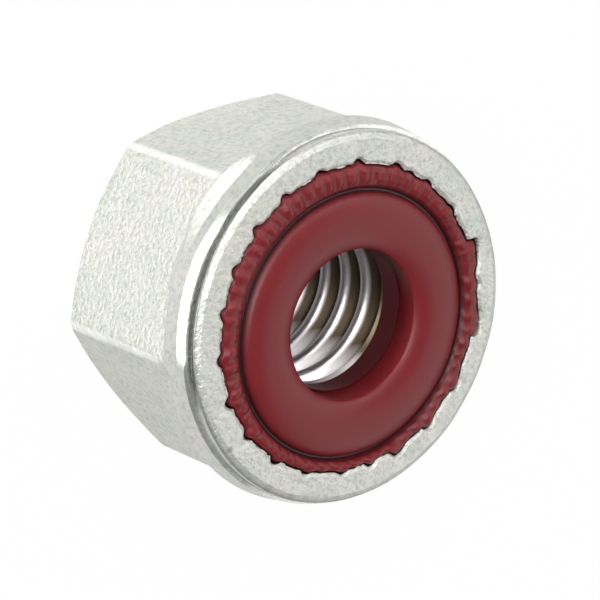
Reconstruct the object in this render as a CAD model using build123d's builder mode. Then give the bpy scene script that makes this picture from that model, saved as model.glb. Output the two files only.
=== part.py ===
"""Nylon insert lock nut, M4 x 0.7.

Two pieces: a cold-formed steel nut with a wide round collar, and a nylon ring held in the
collar's pocket by the rolled-over rim. The bearing face lies on z = 0, +Z runs along the
thread axis towards the nylon end, and two flats of the hexagon face +X and -X.
"""
import os
from math import radians, tan

from build123d import *

# ---------------------------------------------------------------- driving dimensions, mm
# Thread, modelled as a plain bore at its minor diameter
thread_diameter = 4.0
thread_pitch = 0.7
mouth_diameter = 4.4
run_out_width = 0.2

# Hexagon
across_flats = 7.0
corner_rounding = 0.35
bearing_face_diameter = 6.8
bearing_chamfer_angle = 38.0

# Collar, from the flats up to the crease below its rim
collar_diameter = 8.3
flare_height = 1.3
flare_overlap = 0.05
shoulder_rounding = 0.2
collar_wall_height = 0.55
collar_wall_taper = 0.12

# Crease and rim, rolled over the nylon ring
rim_height = 4.93
rim_roll_height = 0.16
rim_rounding = 0.2
crease_depth = 0.06
crease_width = 0.12
lip_slope = 0.05
lip_thickness = 0.3
lip_width = 0.5

# Crimp: V marks of the closing tool in the lip's edge, each filled by nylon that rises in a bead
crimp_marks = 22
first_mark_angle = 8.0
crimp_mark_depth = 0.12
crimp_mark_width = 0.3
bead_diameter = 0.28
bead_rise = 0.07
bead_inset = 0.02

# Pocket for the nylon ring
pocket_undercut = 0.22
pocket_floor = 3.9
ring_clearance = 0.01

# Nylon ring; its hole is as wide as the thread's crests, which a bolt then cuts into
nut_height = 5.0
band_drop = 0.03
band_width = 0.3
groove_width = 0.2
groove_depth = 0.16
dome_rise = 0.2
bore_edge_rounding = 0.12

# ---------------------------------------------------------------- derived sizes
minor_diameter_per_pitch = 1.0825  # basic profile of an ISO metric thread
bore_radius = (thread_diameter - minor_diameter_per_pitch * thread_pitch) / 2
mouth_radius = mouth_diameter / 2
flat_radius = across_flats / 2
collar_radius = collar_diameter / 2
ring_bore_radius = bore_radius

wall_top_radius = collar_radius - collar_wall_taper
lip_outer_radius = wall_top_radius - rim_rounding
lip_inner_radius = lip_outer_radius - lip_width
pocket_radius = lip_inner_radius + pocket_undercut
lip_outer_height = rim_height - lip_slope
crease_end = lip_outer_height - rim_roll_height
crease_start = crease_end - crease_width
flare_end = crease_start - collar_wall_height
flare_start = flare_end - flare_height
lip_underside = rim_height - lip_thickness
crimp_mark = (
    (-crimp_mark_depth, -crimp_mark_width),
    (crimp_mark_depth, 0),
    (-crimp_mark_depth, crimp_mark_width),
)
bearing_chamfer_height = (collar_radius - bearing_face_diameter / 2) * tan(radians(bearing_chamfer_angle))


# ---------------------------------------------------------------- steel nut, one piece
with BuildPart() as steel_nut:
    # Hexagon, up to the widest part of the collar that swallows it
    with BuildSketch(Plane.XY):
        RegularPolygon(flat_radius, 6, major_radius=False, rotation=30)
        fillet(vertices(), corner_rounding)
    extrude(amount=flare_end)

    # Turned chamfer that leaves a round bearing face and curved ends on the flats
    with BuildSketch(Plane.XZ):
        with BuildLine():
            Polyline(
                (0, 0),
                (bearing_face_diameter / 2, 0),
                (collar_radius, bearing_chamfer_height),
                (collar_radius, flare_end),
                (0, flare_end),
                close=True,
            )
        make_face()
    revolve(axis=Axis.Z, mode=Mode.INTERSECT)

    # Collar: a hollow flare out of the flats, a rounded shoulder, a short wall, a crease and the rim
    with BuildSketch(Plane.XZ):
        with BuildLine():
            Line((0, flare_start), (flat_radius - flare_overlap, flare_start))
            TangentArc(
                (flat_radius - flare_overlap, flare_start),
                (collar_radius, flare_end),
                tangent=(0, 1),
            )
            Polyline(
                (collar_radius, flare_end),
                (wall_top_radius, crease_start),
                (wall_top_radius - crease_depth, crease_start + crease_width / 2),
                (wall_top_radius, crease_end),
            )
            rim_edge = EllipticalCenterArc(
                (lip_outer_radius, crease_end),
                rim_rounding,
                rim_roll_height,
                arc_size=90,
            )
            Polyline(
                rim_edge @ 1,
                (lip_inner_radius, rim_height),
                (0, rim_height),
                (0, flare_start),
            )
        make_face()
        fillet(vertices().sort_by(Axis.X)[-1], shoulder_rounding)
    revolve(axis=Axis.Z)

    # Thread bore with its countersunk mouth, and the pocket under the lip
    with BuildSketch(Plane.XZ):
        with BuildLine():
            Polyline(
                (0, 0),
                (mouth_radius, 0),
                (bore_radius, mouth_radius - bore_radius),
                (bore_radius, pocket_floor - run_out_width),
                (bore_radius + run_out_width, pocket_floor),
                (pocket_radius, pocket_floor),
                (pocket_radius, lip_underside),
                (lip_inner_radius, lip_underside),
                (lip_inner_radius, rim_height),
                (0, rim_height),
                close=True,
            )
        make_face()
    revolve(axis=Axis.Z, mode=Mode.SUBTRACT)

    # Marks of the closing tool, through the lip's edge
    with BuildSketch(Plane.XY.offset(lip_underside)):
        with PolarLocations(lip_inner_radius, crimp_marks, start_angle=first_mark_angle):
            Polygon(*crimp_mark, align=None)
    extrude(amount=lip_thickness, mode=Mode.SUBTRACT)

# ---------------------------------------------------------------- nylon locking ring
ring_bottom = pocket_floor + ring_clearance
ring_radius = pocket_radius - ring_clearance
ring_shoulder = lip_underside - ring_clearance
neck_radius = lip_inner_radius - ring_clearance
band_height = rim_height - band_drop
groove_outer_radius = neck_radius - band_width
groove_radius = groove_outer_radius - groove_width / 2
dome_outer_radius = groove_radius - groove_width / 2
dome_foot = nut_height - dome_rise
dome_crest_radius = (dome_outer_radius + ring_bore_radius) / 2
bead_circle_radius = neck_radius - bead_inset - bead_diameter / 2
bead_centre_height = band_height + bead_rise - bead_diameter / 2

with BuildPart() as nylon_ring:
    with BuildSketch(Plane.XZ):
        with BuildLine():
            Polyline(
                (ring_bore_radius, dome_foot),
                (ring_bore_radius, ring_bottom),
                (ring_radius, ring_bottom),
                (ring_radius, ring_shoulder),
                (neck_radius, ring_shoulder),
                (neck_radius, band_height),
                (groove_outer_radius, band_height),
            )
            ThreePointArc(
                (groove_outer_radius, band_height),
                (groove_radius, band_height - groove_depth),
                (dome_outer_radius, dome_foot),
            )
            ThreePointArc(
                (dome_outer_radius, dome_foot),
                (dome_crest_radius, nut_height),
                (ring_bore_radius, dome_foot),
            )
        make_face()
    revolve(axis=Axis.Z)
    dome_feet = edges().filter_by(GeomType.CIRCLE).filter_by_position(Axis.Z, dome_foot, dome_foot)
    fillet(dome_feet.sort_by(SortBy.RADIUS)[0], bore_edge_rounding)

    # Nylon pressed into the crimp marks, and the beads it rises in beside them
    with BuildSketch(Plane.XY.offset(ring_shoulder)):
        with PolarLocations(neck_radius, crimp_marks, start_angle=first_mark_angle):
            Polygon(*crimp_mark, align=None)
    extrude(amount=band_height - ring_shoulder)
    with Locations((0, 0, bead_centre_height)):
        with PolarLocations(bead_circle_radius, crimp_marks, start_angle=first_mark_angle):
            Sphere(bead_diameter / 2)

# ---------------------------------------------------------------- labels and files
steel_nut.part.label = "steel_nut"
nylon_ring.part.label = "nylon_ring"

os.makedirs("parts", exist_ok=True)
export_step(steel_nut.part, "parts/steel_nut.step")
export_step(nylon_ring.part, "parts/nylon_ring.step")
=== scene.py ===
"""Nylon insert lock nut, dressed for rendering.

A plated steel nut with a true M4 x 0.7 thread, a wide collar whose rim is crimped over a red
nylon locking ring, and that ring with the beads that the crimp squeezed up. The bearing face
lies on z = 0 and +Z runs along the thread axis towards the nylon end. Lengths are metres.
"""

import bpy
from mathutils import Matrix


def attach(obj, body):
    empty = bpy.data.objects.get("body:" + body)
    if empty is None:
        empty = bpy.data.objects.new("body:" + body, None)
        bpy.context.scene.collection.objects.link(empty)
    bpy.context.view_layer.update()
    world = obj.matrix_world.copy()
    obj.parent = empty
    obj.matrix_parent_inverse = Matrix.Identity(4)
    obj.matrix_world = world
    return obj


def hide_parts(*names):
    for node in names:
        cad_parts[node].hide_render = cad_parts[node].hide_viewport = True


bl_info = {
    "name": "Nylon insert lock nut",
    "version": (1, 0, 0),
    "blender": (4, 5, 0),
    "location": "3D View > Sidebar > Lock nut",
    "description": "Plated steel lock nut with a crimped collar and a red nylon ring",
    "category": "Add Mesh",
}

from math import atan2, cos, degrees, exp, hypot, pi, radians, sin, sqrt, tan

import bmesh
import bpy
from bpy.props import FloatProperty, FloatVectorProperty, PointerProperty
from mathutils import Matrix, Vector, noise

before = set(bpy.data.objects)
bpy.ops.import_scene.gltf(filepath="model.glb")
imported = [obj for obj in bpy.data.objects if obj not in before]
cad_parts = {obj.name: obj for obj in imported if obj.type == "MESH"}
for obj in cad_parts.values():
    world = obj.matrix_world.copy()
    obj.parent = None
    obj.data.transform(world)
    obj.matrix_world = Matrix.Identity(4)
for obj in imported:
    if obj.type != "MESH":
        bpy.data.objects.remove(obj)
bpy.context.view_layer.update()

MM = 0.001
COLUMNS = 528  # 24 to each of the 22 crimp marks
THREAD_DEPTH = 0.54125  # from the major to the minor radius, as a share of the pitch
FIT = 0.01 * MM  # gap between the ring and the pocket
TAPPED = 1  # slot of the nut's second finish, the first being its plating

# A small nick in the rim, and each dent in the forging: its centre, reach and depth
NICK = Vector((-1.98, -3.24, 4.86)) * MM
DENTS = (
    (NICK, 0.10 * MM, 0.012 * MM),
    (Vector((0.3, 3.83, 4.9)) * MM, 0.10 * MM, 0.02 * MM),
)


def linear(hex_colour):
    """A #RRGGBB colour as linear red, green, blue and alpha."""
    levels = [int(hex_colour[i : i + 2], 16) / 255 for i in (1, 3, 5)]
    return [v / 12.92 if v <= 0.04045 else ((v + 0.055) / 1.055) ** 2.4 for v in levels] + [1.0]


# ---------------------------------------------------------------- settings


def length(label, description, mm):
    """A length setting whose default is given in millimetres."""
    return FloatProperty(
        name=label, description=description, default=mm * MM, min=0.0, unit="LENGTH", precision=5
    )


def colour(label, description, hex_colour):
    """A colour setting."""
    return FloatVectorProperty(
        name=label,
        description=description,
        default=linear(hex_colour),
        size=4,
        min=0.0,
        max=1.0,
        subtype="COLOR",
    )


class SteelNutSettings(bpy.types.PropertyGroup):
    across_flats: length("Across flats", "Width over two opposite flats", 7.0)
    corner_rounding: length("Corner rounding", "Radius of the hexagon's six corners", 0.35)
    bearing_face: length("Bearing face", "Diameter of the round face that sits on the work", 6.8)
    mouth: length("Thread mouth", "Diameter of the countersink in the bearing face", 4.4)
    thread: length("Thread", "Major diameter of the thread", 4.0)
    pitch: length("Pitch", "Distance from one thread to the next", 0.7)
    collar: length("Collar", "Diameter at the shoulder, before it is rounded", 8.272)
    height: length("Rim height", "Height of the rolled rim above the bearing face", 4.93)
    lip: length("Lip opening", "Mean diameter of the crimped opening", 6.56)
    pocket: length("Pocket", "Diameter of the pocket that holds the ring", 7.1)
    floor: length("Pocket floor", "Height of the pocket's floor", 3.9)
    plating: colour("Plating", "Zinc plating on the faces", "#E5E6DF")
    shadow: colour("Pits", "Dull plating in the pits", "#A3A59E")
    # Colour of the oil in the thread roots, also used as painted shade at the thread's top end
    oil_and_shade: colour("Thread root", "Oil left at the bottom of the thread", "#574B3E")


class NylonRingSettings(bpy.types.PropertyGroup):
    height: length("Height", "Height of the ring's dome above the bearing face", 4.999)
    groove: length("Groove", "Diameter of the groove between the dome and the band", 5.68)
    groove_depth: length("Groove depth", "Depth of that groove", 0.17)
    bead: length("Bead height", "How far the crimp squeezed the beads up", 0.085)
    nylon: colour("Nylon", "Dyed nylon", "#740A12")
    # Painted shade: the nylon's colour in the groove and down in the hole, where little light
    # comes
    deep: colour("Nylon, deep", "Dirty nylon in the groove and down in the hole", "#40141A")


class StageSettings(bpy.types.PropertyGroup):
    floor: colour("Floor", "Plain pale floor", "#D6D6D6")
    focal: FloatProperty(
        name="Focal length", description="Lens on a 36 mm sensor", default=270.0, min=1.0
    )
    sky: FloatProperty(
        name="Surroundings", description="Strength of the white room", default=0.3, min=0.0
    )


# ---------------------------------------------------------------- mesh helpers


def rounded(corners):
    """A section line through (radius, height, rounding, cuts) corners.

    A corner with a rounding becomes an arc of five points. cuts is how many points divide the
    run from that corner to the next. Every line made from alike corners has as many points.
    """
    line = []
    last = len(corners) - 1
    for i, (r, z, radius, cuts) in enumerate(corners):
        here = Vector((r, z))
        if radius and 0 < i < last:
            before = Vector(corners[i - 1][:2]) - here
            after = Vector(corners[i + 1][:2]) - here
            half = before.angle(after) / 2
            reach = min(radius / tan(half), 0.45 * before.length, 0.45 * after.length)
            start, end = here + before.normalized() * reach, here + after.normalized() * reach
            for k in range(5):
                t = k / 4
                line.append(start * (1 - t) ** 2 + here * 2 * t * (1 - t) + end * t**2)
        else:
            line.append(here)
        if i < last:
            line.append(("cuts", cuts))
    points = []
    for i, item in enumerate(line):
        if isinstance(item, tuple):
            a, b = line[i - 1], line[i + 1]
            points += [a.lerp(b, k / (item[1] + 1)) for k in range(1, item[1] + 1)]
        else:
            points.append(item)
    return points


def skin(section):
    """A bmesh grown ring by ring from section(angle), with its last ring joined to its first."""
    angles = [2 * pi * k / COLUMNS for k in range(COLUMNS)]
    lines = [section(a) for a in angles]
    bm = bmesh.new()
    column = bm.verts.layers.int.new("column")
    bmesh.ops.create_circle(bm, segments=COLUMNS, radius=1.0)
    for v in bm.verts:
        v[column] = round(atan2(v.co.y, v.co.x) / (2 * pi) * COLUMNS) % COLUMNS
    first = ring = list(bm.edges)
    for level in range(len(lines[0])):
        if level:
            grown = bmesh.ops.extrude_edge_only(bm, edges=ring)["geom"]
            ring = [g for g in grown if isinstance(g, bmesh.types.BMEdge)]
            ring = [e for e in ring if e.is_boundary]
            moved = [g for g in grown if isinstance(g, bmesh.types.BMVert)]
        else:
            moved = list(bm.verts)
        for v in moved:
            k = v[column]
            r, z = lines[k][level]
            v.co = (r * cos(angles[k]), r * sin(angles[k]), z)
    bmesh.ops.bridge_loops(bm, edges=first + ring)
    bmesh.ops.recalc_face_normals(bm, faces=bm.faces)
    return bm


def finished(bm, name, *materials):
    """The bmesh as an object at the origin, with its materials."""
    mesh = bpy.data.meshes.new(name)
    bm.to_mesh(mesh)
    bm.free()
    piece = bpy.data.objects.new(name, mesh)
    bpy.context.collection.objects.link(piece)
    for material in materials:
        mesh.materials.append(material)
    return piece


def shade(piece, angle):
    """Smooth faces, parted where they meet more sharply than the angle."""
    piece.data.shade_smooth()
    piece.data.set_sharp_from_angle(angle=radians(angle))


# ---------------------------------------------------------------- crimp

# Each mark that the crimping tool left in the lip: its angle, its depth in mm, and how many
# degrees it reaches below and above that angle
CRIMP_MARKS = (
    (8, 0.16, 2.0, 13.0), (24.5, 0.03, 3.0, 3.0), (41.5, 0.19, 13.0, 1.6), (58, 0.07, 2.9, 2.9),
    (74, 0.05, 2.9, 2.9), (91, 0.08, 2.9, 2.9), (109, 0.09, 2.9, 2.9), (126, 0.08, 2.9, 2.9),
    (143, 0.08, 2.9, 2.9), (158.5, 0.10, 2.9, 2.9), (175, 0.07, 2.9, 2.9), (191, 0.06, 2.9, 2.9),
    (208, 0.08, 2.9, 2.9), (225, 0.10, 2.9, 2.9), (240.5, 0.09, 2.9, 2.9), (257.5, 0.10, 2.9, 2.9),
    (273, 0.08, 2.9, 2.9), (290, 0.08, 2.9, 2.9), (303, 0.09, 2.9, 2.9), (314, 0.15, 2.0, 7.0),
    (330, 0.12, 2.0, 7.0), (347, 0.13, 2.0, 8.0),
)  # fmt: skip


def turn_between(a, b):
    """Degrees from b to a, from -180 to 180."""
    return (a - b + 180) % 360 - 180


def swell(here, middle, reach, power):
    """1 at the middle and about a third at its reach, in degrees; a higher power ends sharper."""
    return exp(-((turn_between(here, middle) / reach) ** power))


def crimp(angle):
    """How strong the crimp is at an angle: the mark's depth, and a share of it from 0 to 1."""
    here = degrees(angle)
    depth, share = 0.0, 0.0
    for mark, deep, below, above in CRIMP_MARKS:
        away = turn_between(here, mark)
        near = max(0.0, 1 - (away / (above if away > 0 else below)) ** 2) ** 1.6
        if deep * near > depth * share:
            depth, share = deep, near
    return depth * MM, share


def ring_noise(angle, waves, seed):
    """Noise from -1 to 1 that runs round the axis and closes; more waves make it finer."""
    return noise.noise(Vector((cos(angle) * waves, sin(angle) * waves, seed)))


def lip_radius(angle, opening):
    """Radius of the lip's crimped edge, which lies further out on the side at +X."""
    depth, share = crimp(angle)
    loose_side = swell(degrees(angle), -2, 44, 6)
    ragged = ring_noise(angle, 14, 0) * 0.025 * MM
    ragged += ring_noise(angle, 45, 5) * 0.012 * MM
    return opening / 2 + 0.12 * MM * loose_side + depth * share + ragged


# ---------------------------------------------------------------- steel nut

# Where the closing tool has bitten deeper, on the side at -X. The first two are the middle and
# the reach of the bite, and the bevel's are where it starts and ends, all in degrees
DEEP_CREASE = 178, 36
PRESSED_SHOULDER = 156, 15
ROLLED_BEVEL = 163, 207

# Sizes of the collar, its lip and the flare under it, and of what is cut at the thread's ends
WALL_TAPER = 0.12 * MM
SHOULDER_DROP = 0.88 * MM
CREASE_LOW_DROP = 0.32 * MM
CREASE_HIGH_DROP = 0.1 * MM
LIP_THICKNESS = 0.3 * MM
FLARE_HEIGHT = 1.3 * MM
FLARE_OVERLAP = 0.05 * MM
BEARING_CHAMFER = radians(38)
RUN_OUT = 0.2 * MM


def hexagon_radius(angle, flat, rounding):
    """Distance from the axis to the hexagon's side, whose corners are rounded."""
    here = degrees(angle)
    off_flat = radians(abs(turn_between(here, 60 * round(here / 60))))
    centre = (flat - rounding) / cos(pi / 6)
    if off_flat < atan2((flat - rounding) * tan(pi / 6), flat):
        return flat / cos(off_flat)
    off_corner = pi / 6 - off_flat
    return centre * cos(off_corner) + sqrt(rounding**2 - (centre * sin(off_corner)) ** 2)


def steel_section(s):
    """The steel nut's section line at any angle, from its settings."""
    flat, bearing, mouth = s.across_flats / 2, s.bearing_face / 2, s.mouth / 2
    bore = s.thread / 2 - THREAD_DEPTH * s.pitch
    collar, pocket = s.collar / 2, s.pocket / 2
    wall_top, wall_low = collar - WALL_TAPER, s.height - SHOULDER_DROP
    crease_low, crease_high = s.height - CREASE_LOW_DROP, s.height - CREASE_HIGH_DROP
    flare_low = wall_low - FLARE_HEIGHT
    foot = flat - FLARE_OVERLAP
    flare_radius = ((collar - foot) ** 2 + (wall_low - flare_low) ** 2) / (2 * (collar - foot))

    def section(angle):
        side = hexagon_radius(angle, flat, s.corner_rounding)
        chamfer_top = (side - bearing) * tan(BEARING_CHAMFER)
        lip = lip_radius(angle, s.lip)
        depth, share = crimp(angle)
        here = degrees(angle)
        # A deep crease below the rim, a shoulder pressed into a slope beside one corner, and
        # next to it a rolled bevel that comes in more slowly than it goes
        creased = 0.1 + 0.9 * swell(here, *DEEP_CREASE, 4)
        crease_r = collar - (0.14 + 0.17 * creased) * MM
        pressed = swell(here, *PRESSED_SHOULDER, 4)
        past_start, past_end = (turn_between(here, edge) for edge in ROLLED_BEVEL)
        rolled = 1 / (1 + exp(-past_start / 2.5)) / (1 + exp(past_end))
        bevel_r = collar - (0.08 + 0.075 * pressed + 0.09 * rolled) * MM
        shoulder = wall_low - 0.2 * MM * pressed
        flare = []
        for k in range(9):
            r = side + (collar - side) * (k / 8) ** 0.8
            z = shoulder - wall_low + flare_low
            z += sqrt(flare_radius**2 - (foot + flare_radius - r) ** 2)
            flare.append((r, z, {0: 0.06 * MM, 8: 0.12 * MM}.get(k, 0.0), 0))
        slope = (0.03 + 0.10 * pressed) * MM
        waist = collar - (0.06 + 0.075 * pressed) * MM
        return rounded(
            [
                # Down the bore, round its countersunk mouth and out over the bearing face
                (bore, 0.5 * s.floor, 0.0, 0),
                (bore, mouth - bore, 0.0, 2),
                (mouth, 0.0, 0.04 * MM, 6),
                (bearing, 0.0, 0.05 * MM, 3),
                # Up the hexagon and the hollow flare to the shoulder
                (side, chamfer_top, 0.07 * MM, 14),
                *flare,
                # The collar's short wall, its waist and the bevel above it
                (collar - slope, shoulder + (0.15 + 0.15 * pressed) * MM, 0.08 * MM, 0),
                (waist, crease_low - (0.22 - 0.02 * rolled) * MM, 0.06 * MM, 0),
                (bevel_r, crease_low - 0.02 * MM, (0.012 + 0.03 * rolled) * MM, 0),
                # The crease, and the rim rolled in over it
                (crease_r, crease_low + 0.04 * MM * creased, 0.03 * MM * creased, 0),
                (crease_r, crease_high - 0.04 * MM, 0.03 * MM, 0),
                (wall_top - 0.055 * MM, crease_high, 0.02 * MM, 0),
                (wall_top - 0.065 * MM, crease_high + 0.01 * MM, 0.0, 0),
                (wall_top - 0.205 * MM, s.height - 0.012 * MM, 0.03 * MM, 8),
                # The lip's edge, pressed down at each crimp mark
                (lip + 0.08 * MM, s.height - 0.015 * MM - share * depth * 0.25, 0.04 * MM, 1),
                (lip, s.height - 0.06 * MM - share * depth * 0.4, 0.03 * MM, 2),
                # Under the lip, down the pocket, over its floor and into the bore
                (lip + 0.02 * MM, s.height - LIP_THICKNESS, 0.0, 1),
                (pocket, s.height - LIP_THICKNESS, 0.0, 0),
                (pocket, s.floor, 0.0, 0),
                (bore + RUN_OUT, s.floor, 0.0, 0),
                (bore, s.floor - RUN_OUT, 0.0, 0),
            ]
        )

    return section


TAP_OVERSHOOT = 0.3 * MM
TAP_STEPS = 160  # round one turn


def thread_tap(s):
    """The tap that cuts the thread: a right-hand screw a little longer than the bore."""
    major, crest = s.thread / 2, s.thread / 2 - THREAD_DEPTH * s.pitch + 0.007 * MM
    root = s.pitch / 16
    # Half of one groove, from the edge of its flat root in along a 30 degree flank to a worn crest
    groove = [(major, root)]
    for lift, along in ((0.09, 0.0), (0.055, 0.006), (0.03, 0.018), (0.01, 0.038), (0.0, 0.065)):
        r = crest + lift * MM
        groove.append((r, root + (major - r) / tan(pi / 3) + along * MM))
    bm = bmesh.new()
    # As many grooves as the bore holds and some past each end. One turn lifts each by a pitch,
    # so that it ends where the next one starts
    line = []
    for k in range(int(s.floor / s.pitch) + 4):
        middle = (k - 2) * s.pitch
        for r, away in [(r, -z) for r, z in reversed(groove)] + groove:
            line.append(bm.verts.new((r, 0, middle + away)))
    edges = [bm.edges.new(pair) for pair in zip(line, line[1:])]
    bmesh.ops.spin(
        bm,
        geom=line + edges,
        cent=(0, 0, 0),
        axis=(0, 0, 1),
        dvec=(0, 0, s.pitch / TAP_STEPS),
        angle=2 * pi,
        steps=TAP_STEPS,
        use_merge=False,
    )
    bmesh.ops.remove_doubles(bm, verts=bm.verts, dist=0.002 * MM)
    for height, side in ((-TAP_OVERSHOOT, -1), (s.floor + TAP_OVERSHOOT, 1)):
        whole = list(bm.verts) + list(bm.edges) + list(bm.faces)
        bmesh.ops.bisect_plane(
            bm, geom=whole, plane_co=(0, 0, height), plane_no=(0, 0, side), clear_outer=True
        )
        rim = [e for e in bm.edges if e.is_boundary and abs(e.verts[0].co.z - height) < 1e-6]
        bmesh.ops.holes_fill(bm, edges=rim)
    bmesh.ops.recalc_face_normals(bm, faces=bm.faces)
    return bm


def forge_marks(bm, s):
    """Sinks the faces by a few hundredths of a millimetre, as forging and tumbling do."""
    bm.normal_update()
    for v in bm.verts:
        # What lies within the lip's opening stays as it is, and so does the bearing face
        if hypot(v.co.x, v.co.y) < s.lip / 2 or v.co.z < 0.01 * MM:
            continue
        broad = noise.noise(v.co / (0.9 * MM)) * 0.5 + 0.5
        fine = noise.noise(v.co / (0.22 * MM)) * 0.5 + 0.5
        sink = (0.022 * broad + 0.006 * fine) * MM
        for centre, reach, depth in DENTS:
            sink += depth * exp(-(((v.co - centre).length / reach) ** 2))
        v.co -= v.normal * sink


def cut_thread(nut, tap):
    """Cuts the nut's thread with the tap, whose finish the cut faces take, and removes the tap."""
    for face in tap.data.polygons:
        face.material_index = TAPPED
    cut = nut.modifiers.new("thread", "BOOLEAN")
    cut.operation, cut.solver, cut.object = "DIFFERENCE", "EXACT", tap
    cut.material_mode = "INDEX"
    evaluated = nut.evaluated_get(bpy.context.evaluated_depsgraph_get())
    threaded = bpy.data.meshes.new_from_object(evaluated)
    if len(threaded.vertices) <= len(nut.data.vertices):
        raise RuntimeError("the tap cut no thread")
    nut.modifiers.clear()
    nut.data = threaded
    bpy.data.objects.remove(tap)


class LOCKNUT_OT_steel_nut(bpy.types.Operator):
    """Make the steel nut: hexagon, collar, crimped rim and tapped bore"""

    bl_idname = "lock_nut.steel_nut"
    bl_label = "Steel nut"

    def execute(self, context):
        s = context.scene.lock_nut_steel
        bm = skin(steel_section(s))
        forge_marks(bm, s)
        finishes = barrel_zinc(s), tapped_steel(s)
        nut = finished(bm, "plated_nut", *finishes)
        cut_thread(nut, finished(thread_tap(s), "tap", *finishes))
        # What the tap left between its cuts has their finish, down into the countersunk mouth
        for face in nut.data.polygons:
            middle = face.center
            threaded_wall = hypot(middle.x, middle.y) < s.thread / 2 + 0.01 * MM
            if threaded_wall and middle.z > 0.3 * MM:
                face.material_index = TAPPED
        shade(nut, 38)
        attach(nut, "root")
        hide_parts("steel_nut")
        return {"FINISHED"}


# ---------------------------------------------------------------- nylon ring

DOME_OFF_AXIS = 0.16, -0.10  # how far the moulded dome sits off the thread's axis, in mm
FLANGE_DROP = 0.32 * MM
RIBS_TO_A_BEAD = 3
DOME_CUTS = 12


def ring_section(s, nut):
    """The nylon ring's section line at any angle, from its settings and the nut's."""
    bore = nut.thread / 2 - THREAD_DEPTH * nut.pitch
    low, outer = nut.floor + FIT, nut.pocket / 2 - FIT
    band_top = s.height - 0.09 * MM
    groove = s.groove / 2
    dome_edge, dome_crest = groove - 0.05 * MM, (groove - 0.05 * MM + bore) / 2

    def section(angle):
        depth, share = crimp(angle)
        lip = lip_radius(angle, nut.lip)
        here = degrees(angle)
        # The band swells into a bead at each mark and is ribbed like a rope
        mark = min((m[0] for m in CRIMP_MARKS), key=lambda m: abs(turn_between(here, m)))
        away = turn_between(here, mark) / 8.2
        bead = 0.5 * s.bead * (1 - min(1.0, away * away))
        bead += 0.024 * MM * sin(RIBS_TO_A_BEAD * pi * away + 9 * ring_noise(angle, 2, 4))
        bead += 0.02 * MM * ring_noise(angle, 14, 9)
        # It fills the marks on the side at +X, and leaves small gaps in the others
        loose = swell(here, 0, 44, 6)
        side = min(lip - FIT - 0.28 * depth * share * (1 - loose), outer)
        lean = (DOME_OFF_AXIS[0] * cos(angle) + DOME_OFF_AXIS[1] * sin(angle)) * MM
        band = side - groove - lean - 0.07 * MM
        flange = nut.height - FLANGE_DROP
        # The dome from its outer edge to the hole, steepest at both ends
        dome = []
        for k in range(DOME_CUTS + 1):
            r = dome_edge + (bore + 0.03 * MM - dome_edge) * k / DOME_CUTS
            off = abs(r - dome_crest) / (dome_edge - dome_crest)
            dome.append((r + lean, s.height - 0.13 * MM * off**3, 0.0, 0))
        return rounded(
            [
                # Down the hole, out over the pocket's floor, and up in under the lip
                (bore, (low + s.height) / 2, 0.0, 2),
                (bore, low, 0.0, 6),
                (outer, low, 0.0, 2),
                (outer, flange, 0.0, 1),
                (side, flange, 0.0, 2),
                # The band and its beads
                (side, band_top - 0.10 * MM, 0.03 * MM, 0),
                (side - 0.10 * band, band_top - 0.04 * MM + 0.5 * bead, 0.03 * MM, 0),
                (side - 0.32 * band, band_top + bead, 0.06 * MM, 0),
                (side - 0.62 * band, band_top + bead, 0.06 * MM, 0),
                (side - 0.88 * band, band_top - 0.05 * MM + 0.4 * bead, 0.05 * MM, 0),
                # The groove, the dome and the hole's rounded edge
                (groove + lean + 0.07 * MM, band_top - 0.10 * MM, 0.04 * MM, 0),
                (groove + lean + 0.04 * MM, band_top - s.groove_depth, 0.03 * MM, 0),
                (groove + lean - 0.01 * MM, band_top - s.groove_depth, 0.03 * MM, 0),
                *dome,
                (bore + lean - 0.01 * MM, s.height - 0.15 * MM, 0.05 * MM, 2),
                (bore + 0.5 * lean, s.height - 0.6 * MM, 0.2 * MM, 2),
            ]
        )

    return section


class LOCKNUT_OT_nylon_ring(bpy.types.Operator):
    """Make the nylon locking ring with its dome, groove and squeezed-up beads"""

    bl_idname = "lock_nut.nylon_ring"
    bl_label = "Nylon ring"

    def execute(self, context):
        s, nut = context.scene.lock_nut_ring, context.scene.lock_nut_steel
        bm = skin(ring_section(s, nut))
        ring = finished(bm, "red_nylon_ring", dyed_nylon(s))
        shade(ring, 50)
        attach(ring, "root")
        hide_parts("nylon_ring")
        return {"FINISHED"}


# ---------------------------------------------------------------- materials


def node(tree, kind, settings=None, **links):
    """A node with its own settings and input values, fed by links named for its inputs.

    A link is an output socket, or a plain value for that input. Underscores stand for spaces
    and inN is the input with number N.
    """
    made = tree.nodes.new(kind)
    for key, value in (settings or {}).items():
        setattr(made, key, value)
    for key, value in links.items():
        numbered = key[:2] == "in" and key[2:].isdigit()
        socket = made.inputs[int(key[2:]) if numbered else key.replace("_", " ")]
        if isinstance(value, bpy.types.NodeSocket):
            tree.links.new(value, socket)
        else:
            socket.default_value = value
    return made


def blank(name):
    """A material with an empty node tree, its output node and its object coordinates."""
    material = bpy.data.materials.new(name)
    material.use_nodes = True
    tree = material.node_tree
    tree.nodes.clear()
    output = tree.nodes.new("ShaderNodeOutputMaterial")
    place = tree.nodes.new("ShaderNodeTexCoord").outputs["Object"]
    return material, tree, output, place


def radius_and_height(tree, place):
    """The distance of a point from the thread axis, and its height."""
    parts = node(tree, "ShaderNodeSeparateXYZ", in0=place)
    flat = node(tree, "ShaderNodeCombineXYZ", X=parts.outputs["X"], Y=parts.outputs["Y"])
    radius = node(tree, "ShaderNodeVectorMath", {"operation": "LENGTH"}, in0=flat.outputs[0])
    return radius.outputs["Value"], parts.outputs["Z"]


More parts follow.
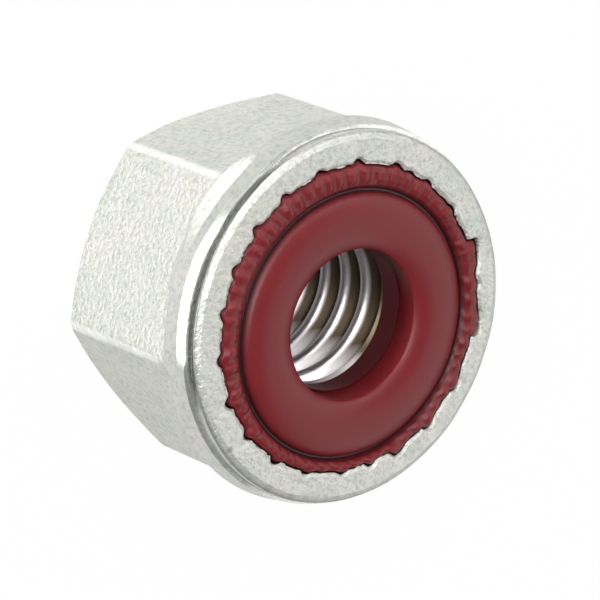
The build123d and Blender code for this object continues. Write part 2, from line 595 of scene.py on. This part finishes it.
def barrel_zinc(s):
    """Barrel-plated zinc on forged steel: a satin metal, sandy with fine pits, faintly tinted,
    with a painted highlight along the corners and painted shade in the crease.
    """
    material, tree, output, place = blank("barrel_zinc_on_steel")
    radius, height = radius_and_height(tree, place)
    # Passivation tints in blotches of about 0.6 mm
    tint = node(tree, "ShaderNodeTexNoise", Vector=place, Scale=1 / (0.6 * MM), Detail=3.0)
    tints = node(tree, "ShaderNodeValToRGB", Fac=tint.outputs["Fac"])
    ramp = tints.color_ramp
    ramp.elements[0].position, ramp.elements[0].color = 0.34, linear("#DEE3DB")
    ramp.elements[1].position, ramp.elements[1].color = 0.66, linear("#E8E6E3")
    ramp.elements.new(0.5).color = s.plating
    # Plating grain of about 0.12 mm, coarser than real grit so that it shows
    grain = node(
        tree, "ShaderNodeTexNoise", Vector=place, Scale=1 / (0.12 * MM), Detail=4.0, Roughness=0.65
    ).outputs["Fac"]
    # Tumbling has burnished what stands out most, the collar and its rim
    out = node(tree, "ShaderNodeMapRange", Value=radius, in1=3.86 * MM, in2=3.96 * MM)
    up = node(tree, "ShaderNodeMapRange", Value=height, in1=3.7 * MM, in2=3.95 * MM)
    polish = node(
        tree, "ShaderNodeMath", {"operation": "MULTIPLY"}, in0=out.outputs[0], in1=up.outputs[0]
    )
    pits = node(tree, "ShaderNodeMapRange", Value=grain, in1=0.32, in2=0.54, in3=0.42, in4=0.0)
    pitted = node(
        tree,
        "ShaderNodeMix",
        {"data_type": "RGBA"},
        Factor=pits.outputs["Result"],
        in6=tints.outputs["Color"],
        in7=s.shadow,
    )
    # Painted highlight: near-white lines along the hexagon's corners, over their rubbed edges
    corner = node(
        tree, "ShaderNodeMapRange", Value=radius, in1=3.957 * MM, in2=3.973 * MM, in4=0.85
    )
    below = node(tree, "ShaderNodeMapRange", Value=height, in1=3.7 * MM, in2=3.5 * MM)
    edge = node(
        tree,
        "ShaderNodeMath",
        {"operation": "MULTIPLY"},
        in0=corner.outputs[0],
        in1=below.outputs[0],
    )
    edge_wear_and_highlight = node(
        tree,
        "ShaderNodeMix",
        {"data_type": "RGBA"},
        Factor=edge.outputs[0],
        in6=pitted.outputs[2],
        in7=linear("#FFFFFC"),
    )
    # Painted shade in the crease, 0.2 mm wide: the zinc there is darkened to dark grey
    low = node(tree, "ShaderNodeMapRange", Value=height, in1=4.55 * MM, in2=4.60 * MM)
    high = node(tree, "ShaderNodeMapRange", Value=height, in1=4.85 * MM, in2=4.81 * MM)
    deep = node(tree, "ShaderNodeMapRange", Value=radius, in1=3.955 * MM, in2=3.910 * MM)
    between = node(
        tree, "ShaderNodeMath", {"operation": "MULTIPLY"}, in0=low.outputs[0], in1=high.outputs[0]
    )
    crease_shade_mask = node(
        tree,
        "ShaderNodeMath",
        {"operation": "MULTIPLY"},
        in0=between.outputs[0],
        in1=deep.outputs[0],
    )
    crease_shaded = node(
        tree,
        "ShaderNodeMix",
        {"data_type": "RGBA"},
        Factor=crease_shade_mask.outputs[0],
        in6=edge_wear_and_highlight.outputs[2],
        in7=linear("#70726D"),
    )
    # A darker, purplish grey in the nick
    off = node(tree, "ShaderNodeVectorMath", {"operation": "DISTANCE"}, in0=place, in1=NICK)
    nick = node(
        tree,
        "ShaderNodeMapRange",
        Value=off.outputs["Value"],
        in1=0.03 * MM,
        in2=0.1 * MM,
        in3=0.6,
        in4=0.0,
    )
    nicked = node(
        tree,
        "ShaderNodeMix",
        {"data_type": "RGBA"},
        Factor=nick.outputs[0],
        in6=crease_shaded.outputs[2],
        in7=linear("#5A5366"),
    )
    rough = node(tree, "ShaderNodeMapRange", Value=polish.outputs[0], in3=0.5, in4=0.3)
    relief = node(tree, "ShaderNodeMapRange", Value=polish.outputs[0], in3=1.0, in4=0.2)
    bump = node(
        tree,
        "ShaderNodeBump",
        Height=grain,
        Strength=relief.outputs[0],
        Distance=0.045 * MM,
    )
    shader = node(
        tree,
        "ShaderNodeBsdfPrincipled",
        Base_Color=nicked.outputs[2],
        Metallic=1.0,
        Roughness=rough.outputs["Result"],
        Normal=bump.outputs["Normal"],
    )
    tree.links.new(shader.outputs[0], output.inputs["Surface"])
    return material


def tapped_steel(s):
    """Cut thread: brighter on the crests, brown with oil in the roots, painted shade at its top
    end and painted light where the glare falls.
    """
    material, tree, output, place = blank("tapped_steel")
    radius, height = radius_and_height(tree, place)
    crest = s.thread / 2 - THREAD_DEPTH * s.pitch
    depth = node(
        tree, "ShaderNodeMapRange", Value=radius, in1=crest + 0.03 * MM, in2=crest + 0.14 * MM
    )
    # Painted shade: the thread's top few tenths of a millimetre, by the pocket floor, take the
    # root colour too
    end = node(
        tree, "ShaderNodeMapRange", Value=height, in1=s.floor - 0.3 * MM, in2=s.floor - 0.2 * MM
    )
    roots_and_shaded_end = node(
        tree, "ShaderNodeMath", {"operation": "MAXIMUM"}, in0=depth.outputs[0], in1=end.outputs[0]
    )
    # Painted light: the oil is left off the side where the glare falls, so its flanks show bright
    # metal
    glare_angle = radians(-62)
    side = node(
        tree,
        "ShaderNodeVectorMath",
        {"operation": "DOT_PRODUCT"},
        in0=place,
        in1=(cos(glare_angle), sin(glare_angle), 0),
    )
    glare_side = node(
        tree,
        "ShaderNodeMapRange",
        Value=side.outputs["Value"],
        in1=1.3 * MM,
        in2=1.7 * MM,
        in3=1.0,
        in4=0.15,
    )
    oil_shade_mask = node(
        tree,
        "ShaderNodeMath",
        {"operation": "MULTIPLY"},
        in0=roots_and_shaded_end.outputs[0],
        in1=glare_side.outputs[0],
    )
    tone = node(
        tree,
        "ShaderNodeMix",
        {"data_type": "RGBA"},
        Factor=oil_shade_mask.outputs[0],
        in6=linear("#FBF6F8"),
        in7=s.oil_and_shade,
    )
    # Torn metal on the flanks, about 0.1 mm across
    torn = node(tree, "ShaderNodeTexNoise", Vector=place, Scale=1 / (0.1 * MM), Detail=2.0)
    bump = node(
        tree, "ShaderNodeBump", Height=torn.outputs["Fac"], Strength=0.25, Distance=0.01 * MM
    )
    shader = node(
        tree,
        "ShaderNodeBsdfPrincipled",
        Base_Color=tone.outputs[2],
        Metallic=1.0,
        Roughness=0.33,
        Normal=bump.outputs["Normal"],
    )
    tree.links.new(shader.outputs[0], output.inputs["Surface"])
    return material


def dyed_nylon(s):
    """Moulded nylon dyed red: satin, a little translucent, with painted shade down in the hole and
    in the groove.
    """
    material, tree, output, place = blank("moulded_red_nylon")
    radius, height = radius_and_height(tree, place)
    # Painted shade down in the hole: the bore wall below the dome darkens to the deep colour
    sunk = node(tree, "ShaderNodeMapRange", Value=height, in1=4.86 * MM, in2=4.6 * MM)
    wall = node(
        tree, "ShaderNodeMapRange", Value=radius, in1=1.55 * MM, in2=1.8 * MM, in3=1.0, in4=0.0
    )
    hole = node(
        tree, "ShaderNodeMath", {"operation": "MULTIPLY"}, in0=wall.outputs[0], in1=sunk.outputs[0]
    )
    # Clouds in the dye, about 0.8 mm across
    cloud = node(tree, "ShaderNodeTexNoise", Vector=place, Scale=1 / (0.8 * MM), Detail=2.0)
    dye = node(
        tree,
        "ShaderNodeMix",
        {"data_type": "RGBA"},
        Factor=cloud.outputs["Fac"],
        in6=s.nylon,
        in7=linear("#681018"),
    )
    # Painted shade in the groove, about 0.1 mm wide
    far = node(tree, "ShaderNodeMapRange", Value=radius, in1=2.55 * MM, in2=2.62 * MM)
    low = node(tree, "ShaderNodeMapRange", Value=height, in1=4.87 * MM, in2=4.79 * MM)
    groove_shade = node(
        tree, "ShaderNodeMath", {"operation": "MULTIPLY"}, in0=far.outputs[0], in1=low.outputs[0]
    )
    shade_mask = node(
        tree, "ShaderNodeMath", {"operation": "MAXIMUM"}, in0=hole.outputs[0], in1=groove_shade.outputs[0]
    )
    tone = node(
        tree,
        "ShaderNodeMix",
        {"data_type": "RGBA"},
        Factor=shade_mask.outputs[0],
        in6=dye.outputs[2],
        in7=s.deep,
    )
    # Unevenness of the moulded skin, about 0.15 mm across
    mottle = node(tree, "ShaderNodeTexNoise", Vector=place, Scale=1 / (0.15 * MM), Detail=3.0)
    bump = node(
        tree, "ShaderNodeBump", Height=mottle.outputs["Fac"], Strength=0.3, Distance=0.01 * MM
    )
    shader = node(
        tree,
        "ShaderNodeBsdfPrincipled",
        Base_Color=tone.outputs[2],
        Roughness=0.42,
        IOR=1.5,
        Subsurface_Weight=0.25,
        Subsurface_Radius=(1.0, 0.15, 0.12),
        Subsurface_Scale=0.35 * MM,
        Normal=bump.outputs["Normal"],
    )
    tree.links.new(shader.outputs[0], output.inputs["Surface"])
    return material


def pale_floor(s):
    """A matt white sheet that reads as plain white and keeps a faint shadow."""
    material, tree, output, _ = blank("pale_floor")
    # Nearly plain white to the camera, and a little of that white to whatever mirrors it
    path = node(tree, "ShaderNodeLightPath").outputs
    mirrored = node(
        tree,
        "ShaderNodeMath",
        {"operation": "MAXIMUM"},
        in0=path["Is Glossy Ray"],
        in1=path["Is Transmission Ray"],
    )
    faint = node(
        tree, "ShaderNodeMath", {"operation": "MULTIPLY"}, in0=mirrored.outputs[0], in1=0.15
    )
    share = node(
        tree,
        "ShaderNodeMath",
        {"operation": "MULTIPLY_ADD"},
        in0=path["Is Camera Ray"],
        in1=0.98,
        in2=faint.outputs[0],
    )
    matt = node(tree, "ShaderNodeBsdfDiffuse", Color=s.floor)
    white = node(tree, "ShaderNodeEmission", Color=(1, 1, 1, 1), Strength=1.0)
    mixed = node(
        tree,
        "ShaderNodeMixShader",
        in0=share.outputs[0],
        in1=matt.outputs[0],
        in2=white.outputs[0],
    )
    tree.links.new(mixed.outputs[0], output.inputs["Surface"])
    return material


# ---------------------------------------------------------------- stage

FLOOR_HALF_SIZE = 0.6
FLOOR_GAP = 0.01 * MM  # so that the floor and the bearing face don't touch

# The camera's right, up and back directions, and its place
CAMERA_RIGHT = Vector((0.73364, 0.31174, 0.60382))
CAMERA_UP = Vector((-0.21281, 0.94927, -0.23152))
CAMERA_BACK = Vector((-0.64536, 0.04136, 0.76276))
CAMERA_PLACE = Vector((-60.8038, 3.8952, 75.0417)) * MM

LAMP_DISTANCE = 0.12
NUT_MIDDLE = Vector((0, 0, 2.5)) * MM

# Each softbox: its name, its direction from the nut, its width and height, and its watts
SOFTBOXES = (
    ("low_strip", (-0.984, -0.156, 0.087), 0.144, 0.015, 0.1),
    ("low_corner", (-0.68, 0.72, 0.12), 0.035, 0.025, 0.043),
    ("front", (-0.7, 0.0, 0.71), 0.07, 0.06, 0.078),
    ("front_top", (-0.42, 0.57, 0.7), 0.05, 0.05, 0.02),
    ("window", (0.76, 0.17, 0.63), 0.26, 0.07, 0.07),
    ("top", (0.12, 0.68, 0.72), 0.045, 0.045, 0.018),
)


def softbox(name, direction, width, height, watts):
    """A softbox that faces the nut from a direction."""
    direction = Vector(direction).normalized()
    data = bpy.data.lights.new(name, "AREA")
    data.shape, data.size, data.size_y, data.energy = "RECTANGLE", width, height, watts
    lamp = bpy.data.objects.new(name, data)
    lamp.location = direction * LAMP_DISTANCE + NUT_MIDDLE
    lamp.rotation_mode = "QUATERNION"
    lamp.rotation_quaternion = direction.to_track_quat("Z", "Y")
    bpy.context.collection.objects.link(lamp)


class LOCKNUT_OT_stage(bpy.types.Operator):
    """Set the floor, the soft studio light and the camera"""

    bl_idname = "lock_nut.stage"
    bl_label = "Stage"

    def execute(self, context):
        s = context.scene.lock_nut_stage
        bm = bmesh.new()
        bmesh.ops.create_grid(bm, x_segments=1, y_segments=1, size=FLOOR_HALF_SIZE)
        bmesh.ops.translate(bm, verts=bm.verts, vec=(0, 0, -FLOOR_GAP))
        floor = finished(bm, "floor", pale_floor(s))

        world = bpy.data.worlds.new("white_room")
        world.use_nodes = True
        world.node_tree.nodes["Background"].inputs["Color"].default_value = (1, 1, 1, 1)
        world.node_tree.nodes["Background"].inputs["Strength"].default_value = s.sky
        context.scene.world = world

        for box in SOFTBOXES:
            softbox(*box)

        data = bpy.data.cameras.new("camera")
        data.lens, data.sensor_width = s.focal, 36.0
        data.clip_start, data.clip_end = 0.001, 5.0
        camera = bpy.data.objects.new("camera", data)
        turn = Matrix((CAMERA_RIGHT, CAMERA_UP, CAMERA_BACK)).transposed()
        camera.rotation_mode = "QUATERNION"
        camera.rotation_quaternion = turn.to_quaternion()
        camera.location = CAMERA_PLACE
        context.collection.objects.link(camera)
        context.scene.camera = camera
        context.scene.view_settings.view_transform = "Standard"
        return {"FINISHED"}


# ---------------------------------------------------------------- add-on


class LOCKNUT_PT_panel(bpy.types.Panel):
    """The lock nut's settings and its operators"""

    bl_idname = "LOCKNUT_PT_panel"
    bl_label = "Nylon insert lock nut"
    bl_space_type = "VIEW_3D"
    bl_region_type = "UI"
    bl_category = "Lock nut"

    def draw(self, context):
        scene = context.scene
        for group, operator in (
            (scene.lock_nut_steel, "lock_nut.steel_nut"),
            (scene.lock_nut_ring, "lock_nut.nylon_ring"),
            (scene.lock_nut_stage, "lock_nut.stage"),
        ):
            box = self.layout.box()
            for name in group.__annotations__:
                box.prop(group, name)
            box.operator(operator)


CLASSES = (
    SteelNutSettings,
    NylonRingSettings,
    StageSettings,
    LOCKNUT_OT_steel_nut,
    LOCKNUT_OT_nylon_ring,
    LOCKNUT_OT_stage,
    LOCKNUT_PT_panel,
)


def register():
    for cls in CLASSES:
        bpy.utils.register_class(cls)
    bpy.types.Scene.lock_nut_steel = PointerProperty(type=SteelNutSettings)
    bpy.types.Scene.lock_nut_ring = PointerProperty(type=NylonRingSettings)
    bpy.types.Scene.lock_nut_stage = PointerProperty(type=StageSettings)


def unregister():
    del bpy.types.Scene.lock_nut_stage
    del bpy.types.Scene.lock_nut_ring
    del bpy.types.Scene.lock_nut_steel
    for cls in reversed(CLASSES):
        bpy.utils.unregister_class(cls)


def main():
    """Registers the add-on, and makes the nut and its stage."""
    register()
    bpy.ops.lock_nut.steel_nut()
    bpy.ops.lock_nut.nylon_ring()
    bpy.ops.lock_nut.stage()


if __name__ == "__main__":
    main()
